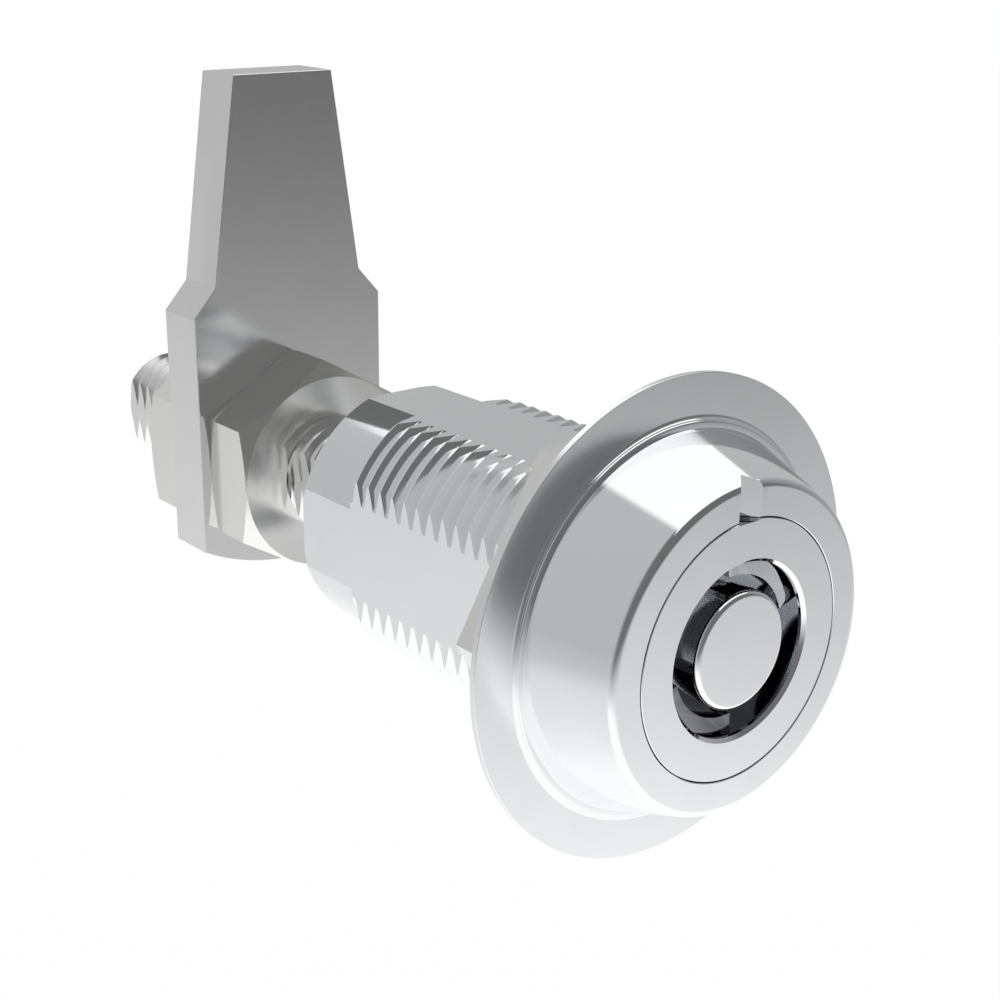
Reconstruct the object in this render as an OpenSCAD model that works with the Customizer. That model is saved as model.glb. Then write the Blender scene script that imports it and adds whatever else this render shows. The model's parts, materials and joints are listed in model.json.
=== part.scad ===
// Compression latch: a turn-and-pull quarter-turn latch with a panel nut and a long cam.
// The first quarter turn swings the cam, the second pulls the shaft forward.
// Y runs along the latch, from the head at -Y to the shaft's end at +Y. Z is up.
// The origin is on the axis, in the plane of the flange's back face.

/* [Head] */
// Length of the head, from the flange's back face to the front
head_len = 7; // [6.5:0.1:9]
// Radius where the cone would meet the front face without its rounded edge
head_r = 11.71; // [11.4:0.01:12.2]
// Slope of the cone's side against the axis, in degrees
head_taper = 18.8; // [10:0.1:20]
// Radius of the rounded edge round the front face
head_edge_r = 0.61; // [0.3:0.01:1]
// Radius of the narrow ring at the foot of the cone
foot_ring_r = 14.27; // [14.2:0.01:14.8]
// Height of that ring above the flange
foot_ring_h = 0.35; // [0.2:0.01:0.5]
// Radius of the round edges on that ring
foot_round = 0.14; // [0.05:0.01:0.15]
// Radius of the flange
flange_r = 17.5; // [16.6:0.1:20]
// Thickness of the flange
flange_t = 0.56; // [0.5:0.01:1]
// Chamfer on both rims of the flange
flange_chamfer = 0.12; // [0.05:0.01:0.2]
// Half of the width and whole depth of the index groove, which is a right-angled V
index_w = 1.04; // [0.6:0.01:1.4]
// Depth to which the index groove runs past the plug's rim
index_reach = 0.15; // [0.05:0.01:0.5]

/* [Barrel] */
// Radius of the barrel's thread over its crests
barrel_r = 11; // [10.8:0.05:11.1]
// Depth of the barrel's thread
barrel_thread_h = 0.8; // [0.6:0.01:0.9]
// Distance from the axis to each of the four flats
barrel_flat = 9.46; // [9.4:0.01:9.9]
// Length from the flange's back face to the end of the thread
thread_len = 24.4; // [20:0.1:26]
// Radius of the plain rear end
barrel_neck_r = 10; // [9.8:0.05:10.15]
// Length from the flange's back face to the barrel's end
barrel_len = 30.85; // [30:0.05:36]
// Chamfer at the barrel's end
barrel_chamfer = 0.35; // [0.1:0.05:0.5]

/* [Panel nut and gasket] */
// Width of the panel nut across its flats
panel_nut_af = 24.5; // [24:0.1:27]
// Thickness of the panel nut
panel_nut_t = 4.53; // [3:0.01:6]
// Outer radius of the gasket
gasket_r = 12.2; // [11.8:0.1:14]
// Thickness of the gasket
gasket_t = 1; // [0.5:0.1:2]

/* [Plug] */
// Radius of the turning plug and its face ring
plug_r = 9.2; // [9:0.05:9.4]
// Thickness of the face ring
ring_t = 0.5; // [0.3:0.05:0.8]
// Radius of the round keyway in the face ring
keyway_r = 6.2; // [5.8:0.05:6.6]
// Depth of the keyway from the front face
keyway_depth = 3.4; // [2.8:0.1:3.5]
// Radius of the wider room behind the face ring
keyway_room_r = 7.2; // [6.8:0.05:7.5]
// Radius of the post in the middle of the keyway
post_r = 4.2; // [3.8:0.05:4.6]
// Radius of the rounded edge on the post
post_edge_r = 0.38; // [0.2:0.01:0.6]
// Radius of the post's tenon
post_tenon_r = 2.6; // [2:0.1:3.2]
// Length of the post's tenon
post_tenon_len = 2; // [1:0.1:3]
// Distance by which the drive dogs stand back from the front face
dog_setback = 1.1; // [0.8:0.1:2]
// Inner radius of the drive dogs
dog_r = 5.05; // [4.8:0.05:5.4]
// Angle of the first dog's start, from +X towards +Z
dog_start = 17; // [0:1:60]
// Angle that each dog covers
dog_span = 78; // [40:1:85]
// Depth of the groove for the ring seal
seal_groove_h = 1.4; // [1.2:0.05:1.6]
// Width of the groove for the ring seal
seal_groove_w = 1.6; // [1.5:0.05:1.9]
// Radius of the ring seal's section
seal_section_r = 0.68; // [0.6:0.01:0.7]
// Radius of the boss on the plug's back
boss_r = 5.07; // [5:0.01:5.08]
// Length of the boss on the plug's back
boss_len = 2.6; // [2:0.1:3]
// Depth of the plug, from the front face to its back
plug_len = 6; // [5.9:0.05:6.1]

/* [Drive] */
// Travel of the shaft when it is pulled in
pull = 6; // [3:0.5:6]
// Turn of the plug that makes this travel, in degrees
pull_turn = 90; // [60:5:90]
// Turn of the cam before the pull, in degrees
swing_turn = 90; // [60:5:90]
// Radius of the cross pin
pin_r = 1.5; // [1.2:0.05:1.6]
// Place of the cross pin along the axis when the shaft is out
pin_y = 15; // [14.5:0.1:15.5]
// Bore radius of the drive sleeve
sleeve_bore_r = 5.08; // [5.08:0.01:5.15]
// Outer radius of the slotted part of the drive sleeve
sleeve_r = 6.65; // [6.4:0.01:6.7]
// Outer radius of the drive sleeve's front end
sleeve_head_r = 7.2; // [7:0.05:7.25]
// Place of the rear end of the drive sleeve's thick front part
sleeve_head_y = 4.7; // [4.5:0.1:4.9]
// Place of the drive sleeve's rear end
sleeve_end_y = 18.4; // [18.2:0.1:18.8]
// Radius of the bottom of the clip's groove on the drive sleeve
sleeve_groove_r = 6.6; // [6.4:0.05:6.8]
// Outer radius of the drive sleeve's clip
sleeve_clip_r = 7.62; // [7.5:0.02:7.64]
// Thickness of the drive sleeve's clip
sleeve_clip_t = 0.8; // [0.6:0.1:1]
// Wire radius of the return spring
wire_r = 0.4; // [0.3:0.05:0.45]
// Radius of the spring's coils at the middle of the wire
coil_r = 3.5; // [3:0.1:4]
// Turns of the spring with open pitch
open_turns = 3; // [2:1:4]

/* [Inside the barrel] */
// Radius of the barrel's main bore
bore_r = 8.25; // [8.1:0.05:8.4]
// Place where the main bore starts
bore_y = 5; // [4.9:0.1:5.2]
// Bore radius of the room for the drive sleeve's clip
clip_room_r = 7.75; // [7.7:0.01:7.8]
// Place of the shoulder that the drive sleeve's clip bears on
shoulder_y = 3; // [2.6:0.1:3.2]
// Place of the shoulder that the plug turns in front of
shoulder_front_y = -0.9; // [-0.95:0.01:-0.85]
// Place of the track bush's rear end
bush_end_y = 19.5; // [19.2:0.1:20]
// Height of the track bush's keys above its outside
bush_key_h = 0.7; // [0.4:0.05:0.9]
// Width of the track bush's keys
bush_key_w = 2.4; // [1.6:0.1:3]
// Thickness of the thrust washer
thrust_washer_t = 1; // [0.6:0.1:1.2]
// Distance from the rear guide's rear end to the barrel's end
guide_setback = 2.1; // [1.9:0.05:3]
// Thickness of the barrel's clip
barrel_clip_t = 1; // [0.6:0.05:1]
// Depth of the groove for the barrel's clip
barrel_clip_groove = 0.5; // [0.3:0.05:0.6]
// Radial width of the barrel's clip
barrel_clip_w = 1.1; // [0.8:0.05:1.4]

/* [Shaft and cam] */
// Radius of the shaft's thread over its crests
shaft_r = 5; // [4.8:0.05:5]
// Distance from the axis to each of the shaft's two flats
shaft_flat = 4.1; // [3.8:0.05:4.4]
// Distance from the cross pin to the shaft's front end
shaft_nose = 3.4; // [2.6:0.1:3.8]
// Place of the shaft's rear end
shaft_end_y = 69.3; // [60:0.1:76]
// Chamfer at both ends of the shaft
shaft_chamfer = 0.6; // [0.2:0.1:1]
// Width of the cam's nuts across their flats
cam_nut_af = 17; // [16:0.1:19]
// Thickness of the cam's nuts
cam_nut_t = 5.65; // [4:0.05:8]
// Radius of the round face on the cam's nuts
cam_nut_face_r = 8.38; // [7:0.01:8.4]
// Length that the chamfer takes off the corners of the cam's nuts
cam_nut_drop = 0.86; // [0.3:0.01:1.2]
// Place of the cam's front face along the shaft
cam_y = 46.65; // [45:0.05:52]
// Thickness of the cam
cam_t = 4.9; // [3:0.1:6]
// Height of the cam's tip above the axis
cam_tip_z = 33.27; // [25:0.01:45]
// Half of the width at the cam's tip
cam_tip_w = 4.785; // [3:0.005:7]
// Height of the cam's shoulders above the axis
cam_shoulder_z = 16; // [14.5:0.1:20]
// Half of the width above the cam's shoulders
cam_shoulder_w = 7.315; // [6:0.005:9]
// Height where the cam's foot reaches its full width
cam_foot_z = 13.68; // [12:0.01:14]
// Half of the width of the cam's foot
cam_foot_w = 9.41; // [9.2:0.01:12]
// Distance from the axis down to the middle of the cam's rounded bottom
cam_bottom_z = 9.55; // [9.2:0.05:14]
// Radius of the cam's rounded bottom
cam_bottom_r = 19.5; // [14:0.1:40]

/* [Fits] */
// Radial clearance where a round piece turns or slides in another
running = 0.08; // [0.02:0.01:0.1]
// Clearance on each side of the shaft's flats
flat_fit = 0.06; // [0.02:0.01:0.1]
// Radial clearance where two pieces are fixed to each other
seat = 0.02; // [0:0.01:0.05]
// Clearance along the axis between faces that turn past each other
end_play = 0.1; // [0.05:0.01:0.15]

/* [Hidden] */
$fn = 96;
front_y = -head_len;
cone_gain = tan(head_taper);
foot_y = -flange_t - foot_ring_h;
foot_r = head_r + cone_gain * (foot_y - front_y);
foot_fillet_end_r = foot_ring_r + foot_ring_h;
plug_back_y = front_y + plug_len;
ring_back_y = front_y + ring_t;
keyway_floor_y = front_y + keyway_depth;
seal_groove_y = plug_back_y - seal_groove_w - 0.5;
boss_end_y = plug_back_y + boss_len;
shaft_front_y = pin_y - shaft_nose;
slot_r = pin_r + running;
guide_y = bush_end_y + thrust_washer_t + end_play;
guide_end_y = barrel_len - guide_setback;
barrel_clip_y = guide_end_y + end_play;
barrel_clip_r = bore_r + barrel_clip_groove - running;
gasket_bore_r = barrel_r + 0.2;
cam_nut_corner_r = cam_nut_af / 2 / cos(30);
nut_front_y = cam_y - cam_nut_t;
cam_back_y = cam_y + cam_t;
barrel_thread_chamfer = barrel_thread_h;
flats_from_y = -flange_t / 2;
past = 1;

// Points along an arc, with its angles in degrees
function arc(x, y, r, from, to, steps = 8) =
    [for (i = [0:steps]) let (a = from + (to - from) * i / steps) [x + r * cos(a), y + r * sin(a)]];

// Turns a profile of [radius, place along the axis] about the Y axis
module turned(turn = 360) {
    rotate([-90, 0, 0]) rotate_extrude(angle = turn) children();
}

// A round rod or disc along the axis
module rod(r, y0, y1) {
    translate([0, y0, 0]) rotate([-90, 0, 0]) cylinder(r = r, h = y1 - y0);
}

// A plate whose outline is drawn in X and Z
module plate(y0, y1) {
    translate([0, y1, 0]) rotate([90, 0, 0]) linear_extrude(height = y1 - y0) children();
}

// A tube along the axis
module tube(outer_r, inner_r, y0, y1) {
    difference() {
        rod(outer_r, y0, y1);
        rod(inner_r, y0 - past, y1 + past);
    }
}

// The shaft's section with two flats, larger by a clearance
module two_flat_rod(y0, y1, round_fit, side_fit) {
    intersection() {
        rod(shaft_r + round_fit, y0, y1);
        plate(y0 - past, y1 + past)
            square([2 * (shaft_flat + side_fit), 4 * shaft_r], center = true);
    }
}

// The index groove, cut down the head's face and just into the plug's rim
module index_cut() {
    translate([0, 0, plug_r - index_reach])
        linear_extrude(height = flange_r)
            polygon([[-index_w - past, front_y - past], [index_w + past, front_y - past],
                [0, front_y + index_w]]);
}

// Outside of the head, with its rounded edge, cone, foot ring and flange
module head_form() {
    edge_tangent = head_edge_r * tan((90 - head_taper) / 2);
    turned() polygon(concat(
        [[0, front_y]],
        arc(head_r - edge_tangent, front_y + head_edge_r, head_edge_r, -90, -head_taper),
        [[foot_r, foot_y]],
        arc(foot_ring_r - foot_round, foot_y + foot_round, foot_round, -90, 0, 5),
        arc(foot_fillet_end_r, -flange_t - foot_ring_h, foot_ring_h, 150, 90, 5),
        [[flange_r - flange_chamfer, -flange_t], [flange_r, -flange_t + flange_chamfer],
            [flange_r, -flange_chamfer], [flange_r - flange_chamfer, 0], [0, 0]]));
}

// Outside of the barrel, with four flats
module barrel_form() {
    intersection() {
        turned() polygon([[0, flats_from_y], [barrel_r, flats_from_y],
            [barrel_r, thread_len - barrel_thread_chamfer],
            [barrel_r - barrel_thread_h, thread_len], [barrel_neck_r, thread_len],
            [barrel_neck_r, barrel_len - barrel_chamfer],
            [barrel_neck_r - barrel_chamfer, barrel_len], [0, barrel_len]]);
        plate(flats_from_y - past, barrel_len + past) square(2 * barrel_flat, center = true);
    }
}

// Places its children at both key directions, halfway between the flats and clear of the windows
module at_keys() {
    for (side = [135, 315]) rotate([0, side, 0]) children();
}

module housing() {
    color("#c4c6c8") difference() {
        union() {
            head_form();
            barrel_form();
        }
        rod(plug_r + running, front_y - past, shoulder_front_y);
        rod(sleeve_head_r + running, shoulder_front_y - past, shoulder_y + past);
        rod(clip_room_r, shoulder_y, bore_y + past);
        rod(bore_r, bore_y, barrel_len + past);
        rod(bore_r + barrel_clip_groove, barrel_clip_y - end_play / 2,
            barrel_clip_y + barrel_clip_t + end_play);
        at_keys() translate([0, bore_y, -bush_key_w / 2 - seat])
            cube([bore_r + bush_key_h + seat, barrel_len, bush_key_w + 2 * seat]);
        index_cut();
    }
}

module gasket() {
    color("#202020") tube(gasket_r, gasket_bore_r, 0, gasket_t);
}

module mounting_nut() {
    color("#bdb6aa") difference() {
        plate(gasket_t, gasket_t + panel_nut_t) circle(r = panel_nut_af / 2 / cos(30), $fn = 6);
        rod(barrel_r + seat, gasket_t - past, gasket_t + panel_nut_t + past);
    }
}

module face_ring() {
    color("#c4c6c8") difference() {
        tube(plug_r, keyway_r, front_y, ring_back_y);
        index_cut();
    }
}

// One drive dog: a block in the shape of a ring's sector, on the keyway's floor
module dog() {
    rotate([0, -dog_span, 0]) turned(dog_span)
        polygon([[dog_r, front_y + dog_setback], [keyway_room_r + seat, front_y + dog_setback],
            [keyway_room_r + seat, keyway_floor_y + seat], [dog_r, keyway_floor_y + seat]]);
}

module drive_plug() {
    color("#8f9294") difference() {
        union() {
            difference() {
                rod(plug_r, ring_back_y, plug_back_y);
                rod(keyway_room_r, ring_back_y - past, keyway_floor_y);
            }
            for (side = [0, 180]) rotate([0, -dog_start - side, 0]) dog();
            rod(boss_r - seat, plug_back_y - past, boss_end_y);
        }
        tube(plug_r + past, plug_r - seal_groove_h, seal_groove_y, seal_groove_y + seal_groove_w);
        rod(post_tenon_r + seat, keyway_floor_y - past, keyway_floor_y + post_tenon_len + seat);
        index_cut();
    }
}

module key_post() {
    color("#b8babc") turned() polygon(concat(
        [[0, front_y]],
        arc(post_r - post_edge_r, front_y + post_edge_r, post_edge_r, -90, 0, 6),
        [[post_r, keyway_floor_y], [post_tenon_r, keyway_floor_y],
            [post_tenon_r, keyway_floor_y + post_tenon_len], [0, keyway_floor_y + post_tenon_len]]));
}

module plug_o_ring() {
    color("#202020") turned()
        translate([plug_r - seal_groove_h + seal_section_r + seat, seal_groove_y + seal_groove_w / 2])
            circle(r = seal_section_r, $fn = 32);
}

// The cross pin's path through the drive sleeve: two helical slots, each a row of short straight
// cuts between round ends
module helical_slots() {
    steps = 18;
    mean_r = (sleeve_r + sleeve_bore_r) / 2;
    arc_len = mean_r * pull_turn * PI / 180;
    cut_len = sqrt(arc_len * arc_len + pull * pull) / steps;
    for (end = [0, 1])
        rotate([0, -pull_turn * end, 0]) translate([0, pin_y - pull * end, 0])
            rotate([0, 90, 0]) cylinder(r = slot_r, h = 4 * sleeve_r, center = true);
    for (i = [0.5:steps])
        rotate([0, -pull_turn * i / steps, 0]) translate([0, pin_y - pull * i / steps, 0])
            for (side = [0, 180]) rotate([0, side, 0])
                translate([mean_r, 0, 0]) rotate([-atan(arc_len / pull), 0, 0])
                    cube([mean_r, cut_len * 1.15, 2 * slot_r], center = true);
}

module drive_sleeve() {
    color("#a9a295") difference() {
        union() {
            rod(sleeve_head_r, plug_back_y, sleeve_head_y);
            rod(sleeve_r, sleeve_head_y - past, sleeve_end_y);
        }
        rod(sleeve_bore_r, plug_back_y - past, sleeve_end_y + past);
        tube(sleeve_head_r + past, sleeve_groove_r, shoulder_y + end_play / 2,
            shoulder_y + sleeve_clip_t + end_play);
        helical_slots();
    }
}

module sleeve_clip() {
    opening = 50;
    clip_y = shoulder_y + end_play * 0.75;
    color("#6f7274") rotate([0, 90 + opening / 2, 0]) turned(360 - opening)
        polygon([[sleeve_groove_r + seat, clip_y], [sleeve_clip_r, clip_y],
            [sleeve_clip_r, clip_y + sleeve_clip_t], [sleeve_groove_r + seat, clip_y + sleeve_clip_t]]);
}

// One window of the track bush: the room that the cross pin sweeps as it swings and is pulled
module track_window() {
    reach = bore_r + past;
    middle = [cos(swing_turn / 2), -sin(swing_turn / 2)];
    last = [cos(swing_turn), -sin(swing_turn)];
    beside_last = [-sin(swing_turn), -cos(swing_turn)];
    plate(pin_y - pull - slot_r, pin_y + slot_r)
        polygon([[0, slot_r], [reach, slot_r], 2 * reach * middle, reach * last + slot_r * beside_last,
            slot_r * beside_last]);
}

module track_bush() {
    color("#b9a06a") difference() {
        union() {
            rod(bore_r - seat, bore_y, bush_end_y);
            at_keys() translate([bore_r - bush_key_h, bore_y, -bush_key_w / 2])
                cube([2 * bush_key_h, bush_end_y - bore_y, bush_key_w]);
        }
        rod(sleeve_r + running, bore_y - past, bush_end_y + past);
        for (side = [0, 180]) rotate([0, side, 0]) track_window();
    }
}

module thrust_washer() {
    color("#d0cdb8") tube(bore_r - seat, shaft_r + 2 * running, bush_end_y, bush_end_y + thrust_washer_t);
}

module rear_guide() {
    color("#a5a7a9") difference() {
        rod(bore_r - running, guide_y, guide_end_y);
        two_flat_rod(guide_y - past, guide_end_y + past, flat_fit, flat_fit);
    }
}

// Open ring with two eyes for pliers
module barrel_clip() {
    opening = 64;
    eye_r = 1.15;
    eye_hole_r = 0.5;
    eye_turn = opening / 2 + 1;
    y0 = barrel_clip_y;
    y1 = y0 + barrel_clip_t;
    eye_place_r = barrel_clip_r - eye_r * 1.25;
    color("#5c5f61") rotate([0, 90, 0]) difference() {
        union() {
            rotate([0, opening / 2, 0]) turned(360 - opening)
                polygon([[barrel_clip_r - barrel_clip_w, y0], [barrel_clip_r, y0],
                    [barrel_clip_r, y1], [barrel_clip_r - barrel_clip_w, y1]]);
            for (side = [-1, 1]) rotate([0, side * eye_turn, 0])
                translate([eye_place_r, 0, 0]) rod(eye_r, y0, y1);
        }
        for (side = [-1, 1]) rotate([0, side * eye_turn, 0])
            translate([eye_place_r, 0, 0]) rod(eye_hole_r, y0 - past, y1 + past);
    }
}

// Height of the coil spring's wire above its front end, after a number of turns:
// one closed turn, then the open ones, then one closed turn
function coil_y(turns, height) =
    let (closed = 2 * wire_r * 1.04, open = height - 2 * wire_r - 2 * closed)
    wire_r + (turns < 1 ? turns * closed
        : turns < 1 + open_turns ? closed + (turns - 1) * open / open_turns
        : closed + open + (turns - 1 - open_turns) * closed);

module return_spring() {
    sides = 8;
    steps = 20;
    all_turns = open_turns + 2;
    height = shaft_front_y - boss_end_y - 2 * seat;
    rings = all_turns * steps;
    points = [for (i = [0:rings], k = [0:sides - 1])
        let (turn = 360 * i / steps, side = 360 * k / sides, r = coil_r + wire_r * cos(side))
        [r * cos(turn), boss_end_y + seat + coil_y(i / steps, height) + wire_r * sin(side), r * sin(turn)]];
    walls = [for (i = [0:rings - 1], k = [0:sides - 1])
        let (a = i * sides + k, b = i * sides + (k + 1) % sides) [a, b, b + sides, a + sides]];
    ends = [[for (k = [sides - 1:-1:0]) k], [for (k = [0:sides - 1]) rings * sides + k]];
    color("#d8d8d8") polyhedron(points = points, faces = concat(walls, ends), convexity = 10);
}

module cross_pin() {
    color("#8a8c8e") translate([0, pin_y, 0]) rotate([0, 90, 0])
        cylinder(r = pin_r, h = 2 * (bore_r - 0.35), center = true);
}

module shaft() {
    color("#c4c6c8") difference() {
        intersection() {
            turned() polygon([[0, shaft_front_y], [shaft_r - shaft_chamfer, shaft_front_y],
                [shaft_r, shaft_front_y + shaft_chamfer], [shaft_r, shaft_end_y - shaft_chamfer],
                [shaft_r - shaft_chamfer, shaft_end_y], [0, shaft_end_y]]);
            plate(shaft_front_y - past, shaft_end_y + past)
                square([2 * shaft_flat, 4 * shaft_r], center = true);
        }
        translate([0, pin_y, 0]) rotate([0, 90, 0]) cylinder(r = pin_r + seat, h = 4 * shaft_r, center = true);
    }
}

// Hexagon nut with both faces chamfered
module cam_nut(y0) {
    y1 = y0 + cam_nut_t;
    color("#c4c6c8") difference() {
        intersection() {
            plate(y0, y1) rotate(30) circle(r = cam_nut_corner_r, $fn = 6);
            turned() polygon([[0, y0], [cam_nut_face_r, y0], [cam_nut_corner_r + seat, y0 + cam_nut_drop],
                [cam_nut_corner_r + seat, y1 - cam_nut_drop], [cam_nut_face_r, y1], [0, y1]]);
        }
        rod(shaft_r + flat_fit, y0 - past, y1 + past);
    }
}

module front_nut() {
    cam_nut(nut_front_y);
}

module rear_nut() {
    cam_nut(cam_back_y);
}

// Cam: a wide foot with a rounded bottom, sloping shoulders and a tapering arm
module cam() {
    bottom_half = asin(cam_foot_w / cam_bottom_r);
    color("#b4b6b8") difference() {
        plate(cam_y, cam_back_y) polygon(concat(
            arc(0, cam_bottom_r - cam_bottom_z, cam_bottom_r, 270 - bottom_half, 270 + bottom_half, 16),
            [[cam_foot_w, cam_foot_z], [cam_shoulder_w, cam_shoulder_z], [cam_tip_w, cam_tip_z],
                [-cam_tip_w, cam_tip_z], [-cam_shoulder_w, cam_shoulder_z], [-cam_foot_w, cam_foot_z]]));
        two_flat_rod(cam_y - past, cam_back_y + past, flat_fit, flat_fit);
    }
}

housing();
gasket();
mounting_nut();
face_ring();
drive_plug();
key_post();
plug_o_ring();
drive_sleeve();
sleeve_clip();
track_bush();
thrust_washer();
rear_guide();
barrel_clip();
return_spring();
cross_pin();
shaft();
front_nut();
cam();
rear_nut();
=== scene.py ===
# The compression latch in a plain pale studio. The CAD model gets true threads, eased edges and
# metal finishes. Lengths are in metres, in the frame's own axes: Y along the latch, Z up.

import json
import math

import bmesh
import bpy
from mathutils import Matrix, Vector

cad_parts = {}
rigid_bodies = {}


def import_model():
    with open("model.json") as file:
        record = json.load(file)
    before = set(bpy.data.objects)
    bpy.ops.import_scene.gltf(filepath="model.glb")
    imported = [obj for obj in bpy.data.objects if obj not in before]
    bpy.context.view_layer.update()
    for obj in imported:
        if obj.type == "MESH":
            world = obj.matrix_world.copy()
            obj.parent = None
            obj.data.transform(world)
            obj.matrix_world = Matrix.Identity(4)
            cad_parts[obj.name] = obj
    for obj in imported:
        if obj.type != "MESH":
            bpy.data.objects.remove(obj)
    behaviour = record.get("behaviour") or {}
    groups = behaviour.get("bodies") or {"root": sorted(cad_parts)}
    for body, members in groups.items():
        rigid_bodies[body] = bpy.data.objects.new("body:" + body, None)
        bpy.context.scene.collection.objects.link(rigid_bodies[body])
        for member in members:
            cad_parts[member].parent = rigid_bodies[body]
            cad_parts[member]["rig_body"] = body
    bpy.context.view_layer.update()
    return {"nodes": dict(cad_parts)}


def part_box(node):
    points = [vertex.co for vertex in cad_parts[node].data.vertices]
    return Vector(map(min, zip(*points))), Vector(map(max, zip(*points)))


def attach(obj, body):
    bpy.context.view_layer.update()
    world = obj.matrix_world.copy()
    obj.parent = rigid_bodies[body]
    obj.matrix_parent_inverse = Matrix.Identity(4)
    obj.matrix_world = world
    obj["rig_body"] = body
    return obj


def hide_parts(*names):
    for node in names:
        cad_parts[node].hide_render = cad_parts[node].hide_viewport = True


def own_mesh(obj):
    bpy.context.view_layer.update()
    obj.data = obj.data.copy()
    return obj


MM = 0.001

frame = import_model()

# Housing
HOUSING_LOW, HOUSING_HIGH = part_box("housing")
HEAD_FRONT_Y = HOUSING_LOW.y
BARREL_END_Y = HOUSING_HIGH.y
FLANGE_R = HOUSING_HIGH.x
HEAD_R = 11.71 * MM
HEAD_TAPER = math.radians(18.8)
HEAD_EDGE_R = 0.61 * MM
FOOT_RING_R = 14.27 * MM
FOOT_RING_H = 0.35 * MM
FOOT_ROUND = 0.14 * MM
FLANGE_T = 0.56 * MM
FLANGE_CHAMFER = 0.12 * MM
FLANGE_ROUND = 0.05 * MM
BARREL_R = 11 * MM
BARREL_ROOT_R = 10.2 * MM
BARREL_FLAT = 9.46 * MM
THREAD_END_Y = 24.4 * MM
NECK_R = 10 * MM
NECK_CHAMFER = 0.35 * MM

# Index groove, a V whose walls are square to each other, half as deep as it is wide
INDEX_DEPTH = 1.04 * MM
INDEX_FLOOR_Z = 9.05 * MM
INDEX_TOP_Z = 1.5 * FLANGE_R

# Bores of the housing
PLUG_BORE_R = 9.28 * MM
PLUG_BORE_EDGE = 0.05 * MM
PLUG_BORE_END_Y = -0.9 * MM
SLEEVE_BORE_R = 7.28 * MM
SLEEVE_BORE_END_Y = 3 * MM
CLIP_ROOM_R = 7.75 * MM
BUSH_BORE_R = 8.25 * MM
BUSH_BORE_Y = 5 * MM
CLIP_GROOVE_DEPTH = 0.5 * MM
CLIP_GROOVE_PLAY = 0.05 * MM
KEY_SLOT_R = 8.97 * MM
KEY_SLOT_W = 2.44 * MM
KEY_SLOT_DEGREES = (135, 315)

# Shaft
SHAFT_LOW, SHAFT_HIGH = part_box("shaft")
SHAFT_R = SHAFT_HIGH.z
SHAFT_FLAT = SHAFT_HIGH.x
SHAFT_ROOT_R = 4.12 * MM
SHAFT_THREAD_Y = 24 * MM
SHAFT_RUN_IN = 1.5 * MM
SHAFT_CHAMFER = 0.6 * MM
PIN_HOLE_R = 1.52 * MM
PIN_HOLE_STEPS = 64

# Nuts and face ring
NUT_CREST_PLAY = 0.02 * MM
CAM_NUT_ROOT_R = 4.48 * MM
MOUNTING_NUT_ROOT_R = 10.28 * MM
KEYWAY_R = 6.2 * MM
KEYWAY_LIP = 0.25 * MM
RING_EDGE = 0.05 * MM

# Eased edges of the CAD pieces
PLUG_EASE = 0.04 * MM
CAM_EASE = 0.11 * MM
GASKET_EASE = 0.1 * MM
PIN_EASE = 0.1 * MM

# Threads. One crest passes crest_y at crest_angle, from +X towards +Z, and a turn has that many steps.
BARREL_THREAD = {
    "crest": BARREL_R,
    "root": BARREL_ROOT_R,
    "pitch": 1.5 * MM,
    "crest_y": 23.65 * MM,
    "crest_angle": math.radians(120),
    "steps": 144,
}
SHAFT_THREAD = {
    "crest": SHAFT_R,
    "root": SHAFT_ROOT_R,
    "pitch": 1.5 * MM,
    "crest_y": SHAFT_HIGH.y,
    "crest_angle": 0,
    "steps": 120,
}
# A crest is an eighth of the pitch wide, and flanks stand 60 degrees apart.
CREST_SHARE = 1 / 8
FLANK_LEAN = math.radians(30)
# A rod has spare turns past both ends, and pointed tips this many pitches off, to be trimmed away.
SPARE_TURNS = 2
TIP_PITCHES = 6

# Steps round a turned piece and along its rounded edges
TURNED_STEPS = 256
HEAD_EDGE_STEPS = 14
HOLLOW_STEPS = 8
ROUND_STEPS = 10

# How far a cutter reaches past what it cuts
PAST = 1 * MM

# Faces that meet at more than these angles meet at a sharp edge, on new solids and on CAD pieces
SOLID_SHARP = math.radians(12)
CAD_SHARP = math.radians(25)

# Points this close are one point, and faces that meet at less than this angle are one face
MERGE_DISTANCE = 0.0005 * MM
MERGE_ANGLE = math.radians(0.3)


# Points along an arc of a profile, as (radius, y), with its angles in degrees
def arc(radius, y, size, start, end, steps):
    angles = [math.radians(start + (end - start) * i / steps) for i in range(steps + 1)]
    return [(radius + size * math.cos(a), y + size * math.sin(a)) for a in angles]


def place_mesh(name, mesh):
    obj = bpy.data.objects.new(name, mesh)
    bpy.context.scene.collection.objects.link(obj)
    return obj


def new_solid(name, points, faces):
    mesh = bpy.data.meshes.new(name)
    mesh.from_pydata(points, [], faces)
    work = bmesh.new()
    work.from_mesh(mesh)
    bmesh.ops.recalc_face_normals(work, faces=work.faces)
    work.to_mesh(mesh)
    work.free()
    return place_mesh(name, mesh)


# A solid turned about the latch's axis from a closed profile of (radius, y) points
def lathe(name, profile, steps=TURNED_STEPS):
    points = []
    rings = []
    for radius, y in profile:
        if radius == 0:
            rings.append([len(points)] * steps)
            points.append((0, y, 0))
            continue
        rings.append(list(range(len(points), len(points) + steps)))
        turns = [math.tau * i / steps for i in range(steps)]
        points += [(radius * math.cos(t), y, radius * math.sin(t)) for t in turns]
    faces = []
    for one, two in zip(rings, rings[1:] + rings[:1]):
        for i in range(steps):
            j = (i + 1) % steps
            corners = list(dict.fromkeys([one[i], one[j], two[j], two[i]]))
            if len(corners) > 2:
                faces.append(corners)
    return new_solid(name, points, faces)


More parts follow.
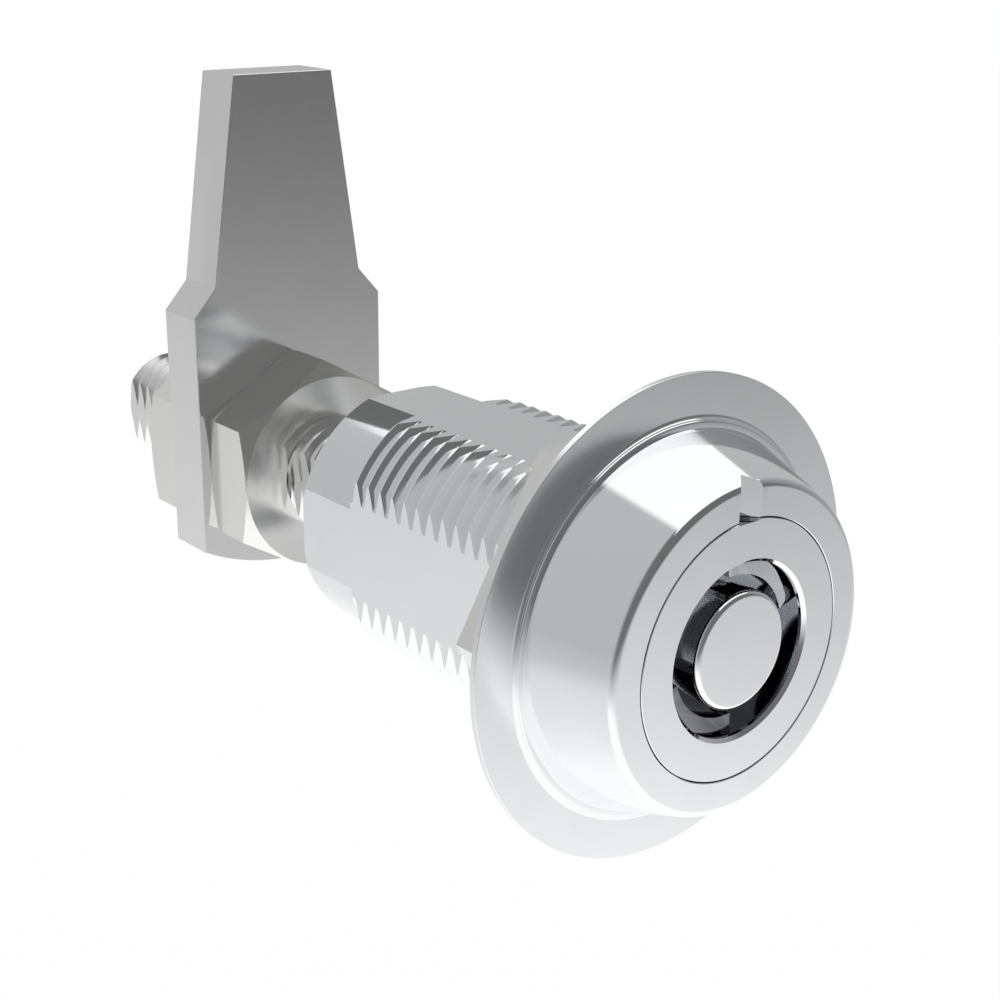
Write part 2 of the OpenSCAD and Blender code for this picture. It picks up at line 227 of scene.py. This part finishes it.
# A right-handed threaded rod, longer than from low_y to high_y
def threaded_rod(name, low_y, high_y, crest, root, pitch, crest_y, crest_angle, steps):
    crest_half = pitch * CREST_SHARE / 2
    flank = (crest - root) * math.tan(FLANK_LEAN)
    root_half = pitch / 2 - crest_half - flank
    one_turn = [
        (-crest_half, crest),
        (crest_half, crest),
        (pitch / 2 - root_half, root),
        (pitch / 2 + root_half, root),
    ]
    first_turn = math.floor((low_y - crest_y) / pitch) - SPARE_TURNS
    last_turn = math.ceil((high_y - crest_y) / pitch) + SPARE_TURNS
    turns = range(first_turn, last_turn)
    row = [(turn * pitch + offset, radius) for turn in turns for offset, radius in one_turn]
    points = []
    for i in range(steps):
        angle = math.tau * i / steps
        shift = crest_y - pitch * (angle - crest_angle) / math.tau
        points += [(radius * math.cos(angle), y + shift, radius * math.sin(angle)) for y, radius in row]
    count = len(row)
    step = len(one_turn)
    faces = []
    for i in range(steps - 1):
        one = i * count
        two = one + count
        faces += [(one + j, one + j + 1, two + j + 1, two + j) for j in range(count - 1)]
    # Past the last column, each row meets the row one pitch lower in the first column.
    end = (steps - 1) * count
    faces += [(end + j, end + j + 1, j + 1 - step, j - step) for j in range(step, count - 1)]
    low_ring = [i * count for i in range(steps)] + [end + j for j in range(1, step + 1)]
    high_ring = [i * count + count - 1 for i in range(steps)]
    high_ring += [count - 1 - step + j for j in range(step)]
    tip = TIP_PITCHES * pitch
    for ring, y in ((low_ring, low_y - tip), (high_ring, high_y + tip)):
        centre = len(points)
        points.append((0, y, 0))
        faces += [(ring[i], ring[(i + 1) % len(ring)], centre) for i in range(len(ring))]
    return new_solid(name, points, faces)


def block(name, low, high):
    corners = [(x, y, z) for x in (low[0], high[0]) for y in (low[1], high[1]) for z in (low[2], high[2])]
    faces = [(0, 1, 3, 2), (4, 6, 7, 5), (0, 4, 5, 1), (2, 3, 7, 6), (0, 2, 6, 4), (1, 5, 7, 3)]
    return new_solid(name, corners, faces)


# Room for one of the track bush's keys, turned about the axis from +X
def key_slot(degrees):
    half = KEY_SLOT_W / 2
    slot = block("key_slot", (0, BUSH_BORE_Y, -half), (KEY_SLOT_R, BARREL_END_Y + PAST, half))
    slot.data.transform(Matrix.Rotation(math.radians(degrees), 4, "Y"))
    return slot


# The V groove down the head's face at twelve o'clock
def index_groove():
    front_y = HEAD_FRONT_Y - PAST
    reach = INDEX_DEPTH + PAST
    outline = [(-reach, front_y), (reach, front_y), (0, HEAD_FRONT_Y + INDEX_DEPTH)]
    points = [(x, y, z) for z in (INDEX_FLOOR_Z, INDEX_TOP_Z) for x, y in outline]
    faces = [(0, 1, 2), (3, 5, 4), (0, 3, 4, 1), (1, 4, 5, 2), (2, 5, 3, 0)]
    return new_solid("index_groove", points, faces)


# Joins, cuts or trims one solid with another, which is then gone
def combine(obj, other, operation):
    modifier = obj.modifiers.new("combine", "BOOLEAN")
    modifier.operation = operation
    modifier.solver = "MANIFOLD"
    modifier.object = other
    graph = bpy.context.evaluated_depsgraph_get()
    mesh = bpy.data.meshes.new_from_object(obj.evaluated_get(graph))
    obj.modifiers.clear()
    obj.data = mesh
    bpy.data.objects.remove(other)
    return obj


# Lets the large faces set the shading, so that flat faces look flat beside round edges
def flatten(obj):
    weighted = obj.modifiers.new("flat_faces", "WEIGHTED_NORMAL")
    weighted.keep_sharp = True
    weighted.weight = 80


def smooth(obj):
    obj.data.shade_smooth()
    obj.data.set_sharp_from_angle(angle=SOLID_SHARP)
    flatten(obj)


# Gives a piece its material and puts it in its CAD node's place
def finish_piece(obj, node, material):
    obj.data.materials.clear()
    obj.data.materials.append(material)
    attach(obj, frame["nodes"][node]["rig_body"])
    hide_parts(node)


def head_profile():
    foot_y = -FLANGE_T - FOOT_RING_H
    foot_r = HEAD_R + math.tan(HEAD_TAPER) * (foot_y - HEAD_FRONT_Y)
    edge_r = HEAD_R - HEAD_EDGE_R * math.tan((math.pi / 2 - HEAD_TAPER) / 2)
    taper = math.degrees(HEAD_TAPER)
    head_edge = arc(edge_r, HEAD_FRONT_Y + HEAD_EDGE_R, HEAD_EDGE_R, -90, -taper, HEAD_EDGE_STEPS)
    ring_edge = arc(FOOT_RING_R - FOOT_ROUND, foot_y + FOOT_ROUND, FOOT_ROUND, -90, 0, ROUND_STEPS)
    ring_hollow = arc(FOOT_RING_R + FOOT_RING_H, foot_y, FOOT_RING_H, 150, 90, HOLLOW_STEPS)
    rim = arc(FLANGE_R - FLANGE_ROUND, -FLANGE_T + FLANGE_ROUND, FLANGE_ROUND, -90, 0, ROUND_STEPS)
    back = [(FLANGE_R, -FLANGE_CHAMFER), (FLANGE_R - FLANGE_CHAMFER, 0), (0, 0)]
    return [(0, HEAD_FRONT_Y)] + head_edge + [(foot_r, foot_y)] + ring_edge + ring_hollow + rim + back


def bore_profile():
    clip_low, clip_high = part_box("barrel_clip")
    groove_r = BUSH_BORE_R + CLIP_GROOVE_DEPTH
    return [
        (0, HEAD_FRONT_Y - PAST),
        (PLUG_BORE_R + PLUG_BORE_EDGE + PAST, HEAD_FRONT_Y - PAST),
        (PLUG_BORE_R, HEAD_FRONT_Y + PLUG_BORE_EDGE),
        (PLUG_BORE_R, PLUG_BORE_END_Y),
        (SLEEVE_BORE_R, PLUG_BORE_END_Y),
        (SLEEVE_BORE_R, SLEEVE_BORE_END_Y),
        (CLIP_ROOM_R, SLEEVE_BORE_END_Y),
        (CLIP_ROOM_R, BUSH_BORE_Y),
        (BUSH_BORE_R, BUSH_BORE_Y),
        (BUSH_BORE_R, clip_low.y - CLIP_GROOVE_PLAY),
        (groove_r, clip_low.y - CLIP_GROOVE_PLAY),
        (groove_r, clip_high.y + CLIP_GROOVE_PLAY),
        (BUSH_BORE_R, clip_high.y + CLIP_GROOVE_PLAY),
        (BUSH_BORE_R, BARREL_END_Y + PAST),
        (0, BARREL_END_Y + PAST),
    ]


# Barrel with a true thread, four flats and a plain neck at its rear end
def barrel():
    start_y = -FLANGE_T / 2
    depth = BARREL_R - BARREL_ROOT_R
    solid = threaded_rod("barrel", start_y, THREAD_END_Y, **BARREL_THREAD)
    envelope = [
        (0, start_y),
        (BARREL_R + PAST, start_y),
        (BARREL_R + PAST, THREAD_END_Y - depth - PAST),
        (BARREL_R - depth, THREAD_END_Y),
        (0, THREAD_END_Y),
    ]
    combine(solid, lathe("thread_room", envelope), "INTERSECT")
    neck = [
        (0, THREAD_END_Y - PAST),
        (NECK_R, THREAD_END_Y - PAST),
        (NECK_R, BARREL_END_Y - NECK_CHAMFER),
        (NECK_R - NECK_CHAMFER, BARREL_END_Y),
        (0, BARREL_END_Y),
    ]
    combine(solid, lathe("neck", neck), "UNION")
    low = (-BARREL_FLAT, start_y - PAST, -BARREL_FLAT)
    high = (BARREL_FLAT, BARREL_END_Y + PAST, BARREL_FLAT)
    return combine(solid, block("flats", low, high), "INTERSECT")


def housing(material):
    solid = lathe("housing_threaded", head_profile())
    combine(solid, barrel(), "UNION")
    combine(solid, lathe("bores", bore_profile()), "DIFFERENCE")
    for degrees in KEY_SLOT_DEGREES:
        combine(solid, key_slot(degrees), "DIFFERENCE")
    combine(solid, index_groove(), "DIFFERENCE")
    smooth(solid)
    finish_piece(solid, "housing", material)


# Hole across the shaft for the cross pin
def pin_hole():
    pin_low, pin_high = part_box("cross_pin")
    reach = 2 * SHAFT_R
    profile = [(0, -reach), (PIN_HOLE_R, -reach), (PIN_HOLE_R, reach), (0, reach)]
    hole = lathe("pin_hole", profile, PIN_HOLE_STEPS)
    hole.data.transform(Matrix.Translation((pin_low + pin_high) / 2) @ Matrix.Rotation(math.pi / 2, 4, "Z"))
    return hole


# Shaft with a true thread behind its plain front part, and two flats over its whole length
def shaft(material):
    start_y = SHAFT_LOW.y
    end_y = SHAFT_HIGH.y
    solid = threaded_rod("shaft_threaded", SHAFT_THREAD_Y, end_y, **SHAFT_THREAD)
    envelope = [
        (0, SHAFT_THREAD_Y),
        (SHAFT_ROOT_R, SHAFT_THREAD_Y),
        (SHAFT_R + PAST, SHAFT_THREAD_Y + SHAFT_RUN_IN),
        (SHAFT_R + PAST, end_y - SHAFT_CHAMFER - PAST),
        (SHAFT_R - SHAFT_CHAMFER, end_y),
        (0, end_y),
    ]
    combine(solid, lathe("thread_room", envelope), "INTERSECT")
    plain = [
        (0, start_y),
        (SHAFT_R - SHAFT_CHAMFER, start_y),
        (SHAFT_R, start_y + SHAFT_CHAMFER),
        (SHAFT_R, SHAFT_THREAD_Y),
        (SHAFT_ROOT_R, SHAFT_THREAD_Y + PAST),
        (0, SHAFT_THREAD_Y + PAST),
    ]
    combine(solid, lathe("plain_part", plain), "UNION")
    low = (-SHAFT_FLAT, start_y - PAST, -2 * SHAFT_R)
    high = (SHAFT_FLAT, end_y + PAST, 2 * SHAFT_R)
    combine(solid, block("flats", low, high), "INTERSECT")
    combine(solid, pin_hole(), "DIFFERENCE")
    smooth(solid)
    finish_piece(solid, "shaft", material)


# A CAD piece's shape, with each flat face in one piece
def cad_shape(node):
    work = bmesh.new()
    work.from_mesh(frame["nodes"][node].data)
    bmesh.ops.remove_doubles(work, verts=work.verts, dist=MERGE_DISTANCE)
    bmesh.ops.dissolve_limit(work, angle_limit=MERGE_ANGLE, verts=work.verts, edges=work.edges)
    mesh = bpy.data.meshes.new(node + "_eased")
    work.to_mesh(mesh)
    work.free()
    mesh.shade_smooth()
    mesh.set_sharp_from_angle(angle=CAD_SHARP)
    return place_mesh(node + "_eased", mesh)


# A CAD piece with its sharp edges eased by a width, or left as they are
def eased(node, material, width=0):
    obj = cad_shape(node)
    if width:
        bevel = obj.modifiers.new("edges", "BEVEL")
        bevel.width = width
        bevel.segments = 3
        bevel.limit_method = "ANGLE"
        bevel.angle_limit = CAD_SHARP
        bevel.harden_normals = True
    else:
        flatten(obj)
    finish_piece(obj, node, material)
    return obj


# A nut whose plain bore is filled, and then cut by a slightly larger copy of the rod's thread
def threaded_nut(node, material, rod_thread, root):
    low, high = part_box(node)
    nut = cad_shape(node)
    plug_r = rod_thread["crest"] + PAST
    combine(nut, lathe("plug", [(0, low.y), (plug_r, low.y), (plug_r, high.y), (0, high.y)]), "UNION")
    thread = {**rod_thread, "crest": rod_thread["crest"] + NUT_CREST_PLAY, "root": root}
    combine(nut, threaded_rod("cutter", low.y - PAST, high.y + PAST, **thread), "DIFFERENCE")
    smooth(nut)
    finish_piece(nut, node, material)


# The plug's face ring, with a chamfered lip round the keyway
def face_ring(material):
    low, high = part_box("face_ring")
    ring = lathe("face_ring_lipped", [
        (KEYWAY_R + KEYWAY_LIP, low.y),
        (high.x - RING_EDGE, low.y),
        (high.x, low.y + RING_EDGE),
        (high.x, high.y),
        (KEYWAY_R, high.y),
        (KEYWAY_R, low.y + KEYWAY_LIP),
    ])
    combine(ring, index_groove(), "DIFFERENCE")
    smooth(ring)
    finish_piece(ring, "face_ring", material)


# A node tree, with short calls for the nodes and links that the materials and the studio need
class Nodes:
    def __init__(self, tree):
        self.tree = tree
        tree.nodes.clear()

    def add(self, kind, **settings):
        node = self.tree.nodes.new(kind)
        for name, value in settings.items():
            setattr(node, name, value)
        return node

    # Puts a value or another node's output on an input
    def put(self, target, value):
        if isinstance(value, bpy.types.NodeSocket):
            self.tree.links.new(value, target)
        else:
            target.default_value = value

    def math(self, operation, *values, clamp=False):
        node = self.add("ShaderNodeMath", operation=operation, use_clamp=clamp)
        for target, value in zip(node.inputs, values):
            self.put(target, value)
        return node.outputs[0]

    # A smooth step from 0 at low to 1 at high
    def step(self, value, low, high):
        node = self.add("ShaderNodeMapRange", interpolation_type="SMOOTHSTEP")
        for name, number in (("Value", value), ("From Min", low), ("From Max", high)):
            self.put(node.inputs[name], number)
        return node.outputs["Result"]

    # 1 between low and high, with soft edges
    def band(self, value, low, high, soft):
        rise = self.step(value, low - soft, low + soft)
        fall = self.step(value, high - soft, high + soft)
        return self.math("SUBTRACT", rise, fall, clamp=True)

    def blend(self, factor, one, two):
        node = self.add("ShaderNodeMix", data_type="FLOAT")
        for name, value in (("Factor", factor), ("A", one), ("B", two)):
            self.put(node.inputs[name], value)
        return node.outputs["Result"]

    # A colour between two, whose sockets share their names with the node's other kinds
    def blend_colours(self, factor, one, two):
        node = self.add("ShaderNodeMix", data_type="RGBA")
        self.put(node.inputs["Factor"], factor)
        self.put(node.inputs[6], (*one, 1))
        self.put(node.inputs[7], (*two, 1))
        return node.outputs[2]

    # A curve through (place, level) points, with places from start to end
    def curve(self, value, start, end, points):
        share = self.math("DIVIDE", self.math("SUBTRACT", value, start), end - start)
        node = self.add("ShaderNodeValToRGB")
        stops = node.color_ramp.elements
        while len(stops) < len(points):
            stops.new(0.5)
        for stop, (place, level) in zip(stops, points):
            stop.position = (place - start) / (end - start)
        for stop, (place, level) in zip(stops, points):
            stop.color = (level, level, level, 1)
        self.put(node.inputs[0], share)
        return node.outputs["Color"]

    # Random levels from 0 to 1 over a piece, in grains of a size
    def noise(self, place, grain, detail=2):
        node = self.add("ShaderNodeTexNoise")
        self.put(node.inputs["Vector"], place)
        self.put(node.inputs["Scale"], 1 / grain)
        self.put(node.inputs["Detail"], detail)
        return node.outputs["Fac"]

    def parts(self, vector):
        node = self.add("ShaderNodeSeparateXYZ")
        self.put(node.inputs[0], vector)
        return node.outputs

    def blend_shaders(self, factor, one, two):
        node = self.add("ShaderNodeMixShader")
        for target, value in zip(node.inputs, (factor, one, two)):
            self.put(target, value)
        return node.outputs[0]

    def show(self, shader, output="ShaderNodeOutputMaterial"):
        self.put(self.add(output).inputs["Surface"], shader)


def new_material(name):
    material = bpy.data.materials.new(name)
    material.use_nodes = True
    return material, Nodes(material.node_tree)


# Metal's darkest and lightest patches against its own tone, and their size in grains
TONE_LOW = 0.97
TONE_HIGH = 1.02
PATCH_GRAINS = 12
# Width of the step from polished to duller metal
DULL_STEP = 0.3 * MM
# Grain of rubber and plastic
MOTTLE = 0.4 * MM


# Metal with a fine grain in its roughness and surface, and a faint change of tone. Past the radius
# dull_from it is rougher, as the turned flange is beside the polished head.
def metal(name, tone, roughness, grain=0.25 * MM, relief=0.02, spread=0.35, dull_from=None, dull=0):
    material, n = new_material(name)
    place = n.add("ShaderNodeTexCoord").outputs["Object"]
    fine = n.noise(place, grain, detail=4)
    broad = n.noise(place, PATCH_GRAINS * grain)
    darker = [TONE_LOW * c for c in tone]
    lighter = [min(1, TONE_HIGH * c) for c in tone]
    low = roughness * (1 - spread)
    rough = n.math("MULTIPLY_ADD", fine, 2 * (roughness - low), low)
    if dull_from:
        x, y, z = n.parts(place)
        radius = n.math("SQRT", n.math("ADD", n.math("MULTIPLY", x, x), n.math("MULTIPLY", z, z)))
        past_rim = n.step(radius, dull_from, dull_from + DULL_STEP)
        rough = n.math("ADD", rough, n.math("MULTIPLY", past_rim, dull))
    bump = n.add("ShaderNodeBump")
    n.put(bump.inputs["Strength"], relief)
    n.put(bump.inputs["Distance"], grain / 4)
    n.put(bump.inputs["Height"], fine)
    shader = n.add("ShaderNodeBsdfPrincipled")
    n.put(shader.inputs["Metallic"], 1)
    n.put(shader.inputs["Base Color"], n.blend_colours(broad, darker, lighter))
    n.put(shader.inputs["Roughness"], rough)
    n.put(shader.inputs["Normal"], bump.outputs["Normal"])
    n.show(shader.outputs[0])
    return material


# Rubber or plastic, mottled between a dark and a light tone
def soft_finish(name, dark, light, roughness):
    material, n = new_material(name)
    mottle = n.noise(n.add("ShaderNodeTexCoord").outputs["Object"], MOTTLE)
    shader = n.add("ShaderNodeBsdfPrincipled")
    n.put(shader.inputs["Base Color"], n.blend_colours(mottle, dark, light))
    n.put(shader.inputs["Roughness"], roughness)
    n.show(shader.outputs[0])
    return material


# Studio light by direction, as (degrees, level). Azimuth 0 is the latch's front and 90 its right.
SIDE_LEVELS = [(-180, 0.5), (-150, 0.47), (-100, 0.47), (-80, 0.42), (-73, 0.4), (-69, 0.3), (-60, 0.25),
    (-46, 0.15), (50, 0.13), (62, 0.25), (90, 0.36), (116, 0.46), (140, 0.43), (160, 0.46), (180, 0.5)]
# Floor light by degrees below the horizon, quick at the front and right, slow at the left and rear
QUICK_FLOOR = [(0, 0), (6, 0.02), (9, 0.08), (13, 0.18), (18, 0.36), (23, 0.52), (27, 0.68), (31, 0.88),
    (36, 1), (90, 1)]
SLOW_FLOOR = [(0, 0), (13, 0.12), (18, 0.28), (23, 0.42), (30, 0.5), (43, 0.58), (58, 0.74), (68, 0.92),
    (90, 1)]
SLOW_SIDES = [(-180, 1), (-95, 1), (-65, 0), (140, 0), (180, 1)]
# Softbox above, further to the right and behind, as two spans of a ceiling one unit up
SOFTBOX_ACROSS = (-0.17, 1.3)
SOFTBOX_ALONG = (-0.62, 1.26)
SOFTBOX_EDGE = 0.04
# Directions below this height are taken at this height, so that none divides by zero.
LOWEST = 0.02
# How much brighter the metal sees the studio
METAL_GAIN = 1.08


def studio():
    world = bpy.data.worlds.new("studio")
    bpy.context.scene.world = world
    world.use_nodes = True
    n = Nodes(world.node_tree)
    x, y, z = n.parts(n.add("ShaderNodeTexCoord").outputs["Generated"])
    azimuth = n.math("DEGREES", n.math("ARCTAN2", x, n.math("MULTIPLY", y, -1)))
    below = n.math("DEGREES", n.math("ARCSINE", n.math("MULTIPLY", z, -1)))
    side = n.curve(azimuth, -180, 180, SIDE_LEVELS)
    quick = n.curve(below, 0, 90, QUICK_FLOOR)
    slow = n.curve(below, 0, 90, SLOW_FLOOR)
    glow = n.blend(n.curve(azimuth, -180, 180, SLOW_SIDES), quick, slow)
    level = n.blend(glow, side, 1)
    height = n.math("MAXIMUM", z, LOWEST)
    across = n.band(n.math("DIVIDE", x, height), *SOFTBOX_ACROSS, SOFTBOX_EDGE)
    along = n.band(n.math("DIVIDE", y, height), *SOFTBOX_ALONG, SOFTBOX_EDGE)
    level = n.blend(n.math("MULTIPLY", across, along), level, 1)
    rays = n.add("ShaderNodeLightPath")
    background = n.add("ShaderNodeBackground")
    metal_level = n.math("MULTIPLY", level, METAL_GAIN)
    n.put(background.inputs["Color"], n.blend(rays.outputs["Is Glossy Ray"], 1, metal_level))
    n.show(background.outputs[0], "ShaderNodeOutputWorld")


FLOOR_HALF = 1.5
FLOOR_DROP = 0.1
FLOOR_TONE = 0.97
# Share of plain white in the floor as the camera sees it
FLOOR_LIFT = 0.9


# Pale floor, well below the latch. Metal shows the studio past it.
def floor():
    corners = [(-1, -1), (1, -1), (1, 1), (-1, 1)]
    points = [(x * FLOOR_HALF, y * FLOOR_HALF, -FLOOR_DROP) for x, y in corners]
    plane = new_solid("floor", points, [(0, 1, 2, 3)])
    material, n = new_material("pale_floor")
    rays = n.add("ShaderNodeLightPath")
    pale = n.add("ShaderNodeBsdfDiffuse")
    n.put(pale.inputs["Color"], (FLOOR_TONE, FLOOR_TONE, FLOOR_TONE, 1))
    white = n.add("ShaderNodeEmission")
    clear = n.add("ShaderNodeBsdfTransparent")
    lift = n.math("MULTIPLY", rays.outputs["Is Camera Ray"], FLOOR_LIFT)
    seen = n.blend_shaders(lift, pale.outputs[0], white.outputs[0])
    n.show(n.blend_shaders(rays.outputs["Is Glossy Ray"], seen, clear.outputs[0]))
    plane.data.materials.append(material)


# Camera at the photograph's place
CAMERA_PLACE = Vector((-77.748, -74.813, 45.970)) * MM
CAMERA_AZIMUTH = math.radians(-39.933)
CAMERA_ELEVATION = math.radians(19.236)
CAMERA_ROLL = math.radians(0.714)
CAMERA_LENS_MM = 60.68
CAMERA_SENSOR_MM = 36


def camera():
    data = bpy.data.cameras.new("camera")
    data.lens = CAMERA_LENS_MM
    data.sensor_width = CAMERA_SENSOR_MM
    data.clip_start = 0.005
    data.clip_end = 10
    obj = bpy.data.objects.new("camera", data)
    level = math.cos(CAMERA_ELEVATION)
    back = Vector((
        math.sin(CAMERA_AZIMUTH) * level,
        -math.cos(CAMERA_AZIMUTH) * level,
        math.sin(CAMERA_ELEVATION),
    ))
    level_right = Vector((math.cos(CAMERA_AZIMUTH), math.sin(CAMERA_AZIMUTH), 0))
    level_up = back.cross(level_right)
    right = level_right * math.cos(CAMERA_ROLL) + level_up * math.sin(CAMERA_ROLL)
    up = level_up * math.cos(CAMERA_ROLL) - level_right * math.sin(CAMERA_ROLL)
    turn = Matrix((right, up, back)).transposed().to_4x4()
    obj.matrix_world = Matrix.Translation(CAMERA_PLACE) @ turn
    bpy.context.scene.collection.objects.link(obj)
    bpy.context.scene.camera = obj


polished = metal("polished", (0.92, 0.935, 0.945), 0.07, relief=0.006, dull_from=FOOT_RING_R, dull=0.12)
plate = metal("plate", (0.9, 0.9, 0.9), 0.15)
nut_metal = metal("nut_metal", (0.92, 0.92, 0.905), 0.21, relief=0.006, spread=0.1)
shaft_metal = metal("shaft_metal", (0.92, 0.92, 0.915), 0.17, relief=0.008, spread=0.15)
warm = metal("warm", (0.95, 0.95, 0.935), 0.2, grain=0.4 * MM, relief=0.02, spread=0.2)
dark_metal = metal("dark_metal", (0.42, 0.44, 0.46), 0.05, relief=0.004, spread=0.1)
machined = metal("machined", (0.76, 0.77, 0.78), 0.24, relief=0.01, spread=0.2)
spring_metal = metal("spring_metal", (0.42, 0.43, 0.44), 0.35, relief=0.01)
brass = metal("brass", (0.78, 0.62, 0.34), 0.3)
rubber = soft_finish("rubber", (0.02, 0.02, 0.02), (0.04, 0.04, 0.04), 0.7)
plastic = soft_finish("plastic", (0.74, 0.71, 0.62), (0.8, 0.78, 0.7), 0.5)

housing(polished)
shaft(shaft_metal)
face_ring(polished)
eased("key_post", polished)
eased("drive_plug", dark_metal, PLUG_EASE)
threaded_nut("mounting_nut", warm, BARREL_THREAD, MOUNTING_NUT_ROOT_R)
threaded_nut("front_nut", nut_metal, SHAFT_THREAD, CAM_NUT_ROOT_R)
threaded_nut("rear_nut", nut_metal, SHAFT_THREAD, CAM_NUT_ROOT_R)
eased("cam", plate, CAM_EASE)
eased("gasket", rubber, GASKET_EASE)
eased("plug_o_ring", rubber)
eased("drive_sleeve", machined)
eased("sleeve_clip", spring_metal)
eased("track_bush", brass)
eased("thrust_washer", plastic)
eased("rear_guide", machined)
eased("barrel_clip", spring_metal)
eased("cross_pin", machined, PIN_EASE)
spring = eased("return_spring", spring_metal)
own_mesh(spring)

studio()
floor()
camera()
bpy.context.scene.view_settings.view_transform = "Standard"
